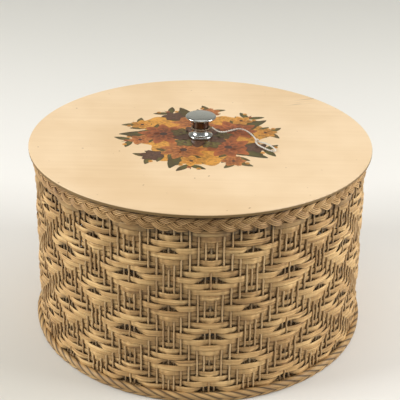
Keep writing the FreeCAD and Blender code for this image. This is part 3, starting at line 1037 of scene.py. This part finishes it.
def two_ply(name, line, lay, closed, material):
    """Two strands wound round a line; lay is the length of one full twist."""
    work = bmesh.new()
    chart = work.loops.layers.uv.new("reed")
    count = len(line)
    for strand in range(2):
        length = 0.0
        rings = []
        for index, here in enumerate(line):
            before = line[index - 1] if index or closed else here
            after = line[(index + 1) % count] if index < count - 1 or closed else here
            if index:
                length += (here - line[index - 1]).length
            ahead = (after - before).normalized()
            side = ahead.cross(UP).normalized()
            up = side.cross(ahead)
            wind = 2 * math.pi * length / lay + math.pi * strand
            middle = here + (side * math.cos(wind) + up * math.sin(wind)) * PLY_OFFSET
            ring = [work.verts.new(place) for place in hoop(middle, side, up, PLY_RADIUS, PLY_SIDES)]
            rings.append((ring, length))
        pairs = list(zip(rings, rings[1:] + rings[:1] if closed else rings[1:]))
        for (low, low_length), (high, high_length) in pairs:
            for step in range(PLY_SIDES):
                after = (step + 1) % PLY_SIDES
                face = work.faces.new([low[step], low[after], high[after], high[step]])
                face.smooth = True
                lengths = (low_length, low_length, high_length, high_length)
                turns = (step, step + 1, step + 1, step)
                for loop, far, turn in zip(face.loops, lengths, turns):
                    loop[chart].uv = (far, turn * PLY_RADIUS + strand * 0.01)
        if not closed:
            work.faces.new(list(reversed(rings[0][0])))
            work.faces.new(rings[-1][0])
    bmesh.ops.recalc_face_normals(work, faces=work.faces)
    piece = add_mesh(name, work, material)
    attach(piece, "lid")
    return piece


# %% Lead and loop
LEAD_LAY = 5.0 * MM
LOOP_LAY = 4.0 * MM
lead_line = smooth_line("lead_route", [on_lid(point) for point in LEAD_ROUTE])
lead = two_ply("string_run", lead_line, LEAD_LAY, False, cotton)
loop_places = [
    LOOP_START + LOOP_ALONG * far + LOOP_ACROSS * wide + UP * high for far, wide, high in LOOP_ROUTE
]
loop_line = smooth_line("loop_route", [on_lid(point) for point in loop_places])
loop = two_ply("string_tail_loop", loop_line, LOOP_LAY, False, cotton)
for piece, node, line in ((lead, "string_lead", lead_line), (loop, "string_end_loop", loop_line)):
    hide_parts(node)
    line_length(line)
string_lengths = [round(line_length(line) / MM, 1) for line in (lead_line, loop_line)]
print("string lengths, mm:", string_lengths)

# %% Knot and neck turn
KNOT_RADIUS = 1.3 * MM
KNOT_LIFT = 1.1 * MM
KNOT_STEPS, KNOT_TWISTS = 24, 3
KNOT_SIDE = Vector((0.95, 0.3, 0.0)).normalized()
knot_line = hoop(on_lid(LOOP_START) + UP * KNOT_LIFT, KNOT_SIDE, UP, KNOT_RADIUS, KNOT_STEPS)
knot = two_ply("string_knot", knot_line, 2 * math.pi * KNOT_RADIUS / KNOT_TWISTS, True, cotton)
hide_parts("string_end_loop")

NECK_LOW, NECK_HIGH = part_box("string_neck_turn")
NECK_STEPS, NECK_TWISTS = 72, 8
EAST, NORTH = Vector((1.0, 0.0, 0.0)), Vector((0.0, 1.0, 0.0))
neck_radius = (NECK_HIGH[0] - NECK_LOW[0]) / 2 - STRING / 2
neck_middle = UP * ((NECK_HIGH[2] + NECK_LOW[2]) / 2)
neck_line = hoop(neck_middle, EAST, NORTH, neck_radius, NECK_STEPS)
neck = two_ply("string_neck", neck_line, 2 * math.pi * neck_radius / NECK_TWISTS, True, shade_painted_cotton)
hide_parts("string_neck_turn")
print("neck turn radius, mm:", round(neck_radius / MM, 2))

# %% [markdown]
# ## Printed spray
# A printed film sits in the middle of the lid.  This one is a plain wreath of rosettes,
# leaves and berries, drawn for this lesson.  A painted picture could do the same, but
# shapes drawn in code stay sharp at any distance.  Every petal is a small flat fan with
# its own colours, laid in layers a few hundredths of a millimetre apart.

# %% Ink
FILM_LOW, FILM_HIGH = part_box("floral_transfer")
LAYER = (FILM_HIGH[2] - FILM_LOW[2]) / 6
STAIN = rgba(84, 54, 30)


def print_finish():
    """Ink from the drawing, worn and stained in small streaks."""
    material, net, shader = new_finish("printed_film")
    place = net.node("ShaderNodeTexCoord", out="Object")
    ink = net.node("ShaderNodeVertexColor", {"layer_name": "ink"})
    streak = net.noise(place, 420.0, 3.0)
    wash = net.noise(place, 90.0, 2.0)
    colour = net.mix(net.smooth(streak * 0.6 + wash * 0.5, 0.4, 0.74) * 0.6, ink, STAIN)
    shade(net, shader, Base_Color=colour, Roughness=0.4 + wash * 0.15)
    return material


# %% Flat outlines
class Print:
    """Collects flat coloured outlines in layers."""

    def __init__(self):
        self.work = bmesh.new()
        self.ink = self.work.loops.layers.float_color.new("ink")

    def patch(self, outline, layer, colours):
        """A fan from the first point; colours run from the first point to the edge."""
        level = FILM_LOW[2] + LAYER * layer
        middle = self.work.verts.new((*outline[0], level))
        rim = [self.work.verts.new((x, y, level)) for x, y in outline[1:]]
        for here, there in zip(rim, rim[1:] + rim[:1]):
            face = self.work.faces.new([middle, here, there])
            for loop in face.loops:
                loop[self.ink] = colours[0] if loop.vert is middle else colours[1]


LEAF_STEPS = 17


def leaf_outline(root, heading, length, width, bend):
    """A pointed leaf or petal: its heart first, then its edge."""
    ahead = Vector((math.cos(heading), math.sin(heading)))
    side = Vector((-ahead.y, ahead.x))
    edge = []
    for step in range(LEAF_STEPS):
        turn = 2 * math.pi * step / LEAF_STEPS
        far = (1 - math.cos(turn)) / 2
        wide = math.sin(turn) * (0.55 + 0.45 * math.sin(far * math.pi))
        edge.append(root + ahead * (far * length) + side * (wide * width / 2 + bend * far * far * length))
    return [root + ahead * length * 0.3, *edge]


# %% Motifs
OCHRE = (rgba(190, 112, 34), rgba(226, 164, 72))
RUST = (rgba(112, 50, 26), rgba(186, 104, 52))
BRICK = (rgba(134, 68, 34), rgba(202, 128, 66))
OLIVE = (rgba(104, 100, 46), rgba(70, 68, 36))
MOSS = (rgba(124, 112, 54), rgba(84, 76, 40))
PLUM = (rgba(112, 80, 58), rgba(76, 50, 40))
GROUND = (rgba(208, 142, 52), rgba(224, 160, 68))
EYE_BROWN = rgba(70, 42, 34)

drawing = Print()


def polar(radius, angle):
    """A place on the lid, from its distance and its angle."""
    return Vector((radius * math.cos(angle), radius * math.sin(angle)))


def dot(middle, radius, turn, layer, colours):
    """A small round spot."""
    edge = [middle + polar(radius, turn + corner * math.pi / 5) for corner in range(10)]
    drawing.patch([middle, *edge], layer, colours)


def rosette(middle, size, petals, colours, turn, layer):
    """Two rings of overlapping petals round a dark eye."""
    for ring, share in enumerate((1.0, 0.62)):
        for step in range(petals):
            heading = turn + 2 * math.pi * (step + 0.5 * ring) / petals
            root = middle + polar(size * 0.08, heading)
            petal = leaf_outline(root, heading, size * share, size * share * 4.4 / petals, 0.05)
            drawing.patch(petal, layer + 0.3 * ring + 0.1 * (step % 2), colours)
    dot(middle, size * 0.17, turn, layer + 0.6, (EYE_BROWN, PLUM[1]))


def sprig(root, heading, length, tone, layer):
    """A short twig with paired leaves."""
    for step in range(3):
        place = root + polar(length * (0.2 + 0.27 * step), heading)
        for side in (-1, 1):
            leaf = leaf_outline(place, heading + side * 0.7, length * 0.42, length * 0.16, 0.1 * side)
            drawing.patch(leaf, layer, tone)
    drawing.patch(leaf_outline(root, heading, length, length * 0.07, 0.0), layer, tone)


# %% Drawing the spray
GROUND_STEPS = 120
ground = [Vector((0.0, 0.0))]
for step in range(GROUND_STEPS):
    angle = 2 * math.pi * step / GROUND_STEPS
    reach = 52.0 + 4.0 * math.sin(3 * angle + 0.6)
    reach += 3.5 * math.sin(8 * angle) + 2.0 * math.sin(17 * angle)
    ground.append(polar(reach * MM, angle))
drawing.patch(ground, 0.3, GROUND)

LARGE = 5
START = 0.5
WREATH = 31 * MM
SPRIG = 38 * MM
BROAD_LEAF = (37 * MM, 11 * MM)
BERRY = 1.9 * MM
for step in range(LARGE):
    angle = 2 * math.pi * step / LARGE + START
    middle = polar(WREATH, angle)
    for side in (-1, 1):
        sprig(middle, angle + 0.62 * side, SPRIG, OLIVE if side > 0 else MOSS, 1.0)
    drawing.patch(leaf_outline(middle, angle + 0.1, *BROAD_LEAF, 0.08), 1.3, OLIVE)
    rosette(middle, (20.0 - 1.5 * (step % 2)) * MM, 9, (RUST, BRICK)[step % 2], angle, 2.2)
for step in range(2 * LARGE):
    angle = math.pi * (step + 0.5) / LARGE + START
    outer = polar((50 + 5 * (step % 2)) * MM, angle)
    inner = polar((14 + 4 * (step % 2)) * MM, angle)
    rosette(outer, 9.5 * MM, 6, (OCHRE, BRICK, PLUM)[step % 3], angle, 3.2)
    rosette(inner, 8.5 * MM, 5, (PLUM, MOSS)[step % 2], angle, 3.2)
    for berry in range(3):
        spot = polar((59 + 2.5 * berry) * MM, angle + 0.12 * (berry - 1))
        dot(spot, BERRY, 0.0, 3.0, RUST if berry % 2 else OCHRE)

bmesh.ops.recalc_face_normals(drawing.work, faces=drawing.work.faces)
for face in drawing.work.faces:
    if face.normal.z < 0:
        face.normal_flip()
spray = add_mesh("printed_spray", drawing.work, print_finish())
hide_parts("floral_transfer")
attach(spray, "lid")
print("printed faces:", len(spray.data.polygons))

# %% [markdown]
# ## Floor and light
# The box stands on a pale sheet of paper that curves up behind it, so that no horizon
# shows.  A soft lamp on the left, a slightly weaker one on the right and a wide one
# overhead leave only a faint shadow round the foot.  Area lamps were chosen over points
# because polished metal mirrors them as broad bright patches.

# %% Paper
PAPER_SHADOW_FRONT, PAPER_MIDDLE = rgba(206, 204, 194), rgba(239, 238, 234)
PAPER_SHADE_BACK = rgba(233, 232, 226)
PAPER_FRONT, PAPER_BACK, PAPER_HALF = -3.0, 1.6, 4.0
PAPER_BEND, PAPER_TOP, BEND_STEPS = 0.7, 3.0, 12
scene = bpy.context.scene
scene.view_settings.view_transform = "Standard"


def paper_finish():
    """Matt paper with a painted shadow towards the front left and painted shade far behind."""
    material, net, shader = new_finish("paper_sweep")
    x, y, _ = net.split(net.node("ShaderNodeTexCoord", out="Object"))
    # Painted shadow towards the front left; painted shade far behind.
    colour = net.mix(net.smooth(y + x * 0.8, -0.42, 0.05), PAPER_SHADOW_FRONT, PAPER_MIDDLE)
    colour = net.mix(net.smooth(y, 0.2, 0.9), colour, PAPER_SHADE_BACK)
    shade(net, shader, Base_Color=colour, Roughness=0.9)
    return material


def paper_sweep():
    """A floor that curves up into a backdrop."""
    work = bmesh.new()
    steps = [(PAPER_FRONT, 0.0), (PAPER_BACK, 0.0)]
    for step in range(1, BEND_STEPS + 1):
        angle = math.pi / 2 * step / BEND_STEPS
        steps.append((PAPER_BACK + PAPER_BEND * math.sin(angle), PAPER_BEND * (1 - math.cos(angle))))
    steps.append((PAPER_BACK + PAPER_BEND, PAPER_TOP))
    rows = [[work.verts.new((x, y, z)) for x in (-PAPER_HALF, PAPER_HALF)] for y, z in steps]
    for low, high in zip(rows, rows[1:]):
        face = work.faces.new([low[0], low[1], high[1], high[0]])
        face.smooth = True
    floor = add_mesh("paper_sweep", work, paper_finish())


paper_sweep()
print("paper, m:", 2 * PAPER_HALF, "wide")

# %% Lamps
LAMP_TINT = (1.0, 0.985, 0.96)
SKY_TINT = (1.0, 0.995, 0.98, 1.0)
SKY_STRENGTH = 0.24
AIM = (0.0, 0.0, 0.1)


def lamp(name, place, aim, size, power):
    """A square area lamp that faces a point."""
    light = bpy.data.lights.new(name, "AREA")
    light.shape = "SQUARE"
    light.size = size
    light.energy = power
    light.color = LAMP_TINT
    holder = bpy.data.objects.new(name, light)
    holder.location = place
    holder.rotation_euler = (Vector(aim) - Vector(place)).to_track_quat("-Z", "Y").to_euler()
    scene.collection.objects.link(holder)


lamp("left_window", (-1.6, -0.3, 1.0), AIM, 0.8, 27.0)
lamp("right_fill", (1.6, -0.2, 0.95), AIM, 0.8, 24.0)
lamp("overhead", (0.1, -0.1, 1.9), AIM, 1.4, 8.0)
world = bpy.data.worlds.new("room")
scene.world = world
world.use_nodes = True
sky = world.node_tree.nodes["Background"]
sky.inputs["Color"].default_value = SKY_TINT
sky.inputs["Strength"].default_value = SKY_STRENGTH
print("lamps:", len(bpy.data.lights))

# %% [markdown]
# ## Camera
# The camera looks down on the lid from the front, through a long lens that keeps the
# round of the lid true.  It could be aimed by eye, but its place, turn and focal length
# were fitted to the ellipse of the lid and to the foot.

# %% Camera
PHOTO_SIZE = 400.0
FOCAL_PIXELS = 922.6
CAMERA_PLACE = Vector((6.37, -703.29, 454.93)) * MM
PITCH = math.radians(26.623)
YAW = math.radians(-0.492)
ROLL = math.radians(0.857)

camera = bpy.data.cameras.new("camera")
camera.sensor_width = 36.0
camera.lens = FOCAL_PIXELS / PHOTO_SIZE * camera.sensor_width
camera.clip_start = 0.01
viewer = bpy.data.objects.new("camera", camera)
ahead = Vector((math.sin(YAW) * math.cos(PITCH), math.cos(YAW) * math.cos(PITCH), -math.sin(PITCH)))
right = ahead.cross(UP).normalized()
up = right.cross(ahead)
tilted_right = right * math.cos(ROLL) + up * math.sin(ROLL)
tilted_up = up * math.cos(ROLL) - right * math.sin(ROLL)
turn = Matrix((tilted_right, tilted_up, -ahead)).transposed()
viewer.matrix_world = Matrix.Translation(CAMERA_PLACE) @ turn.to_4x4()
scene.collection.objects.link(viewer)
scene.camera = viewer
print("lens, mm:", round(camera.lens, 1))
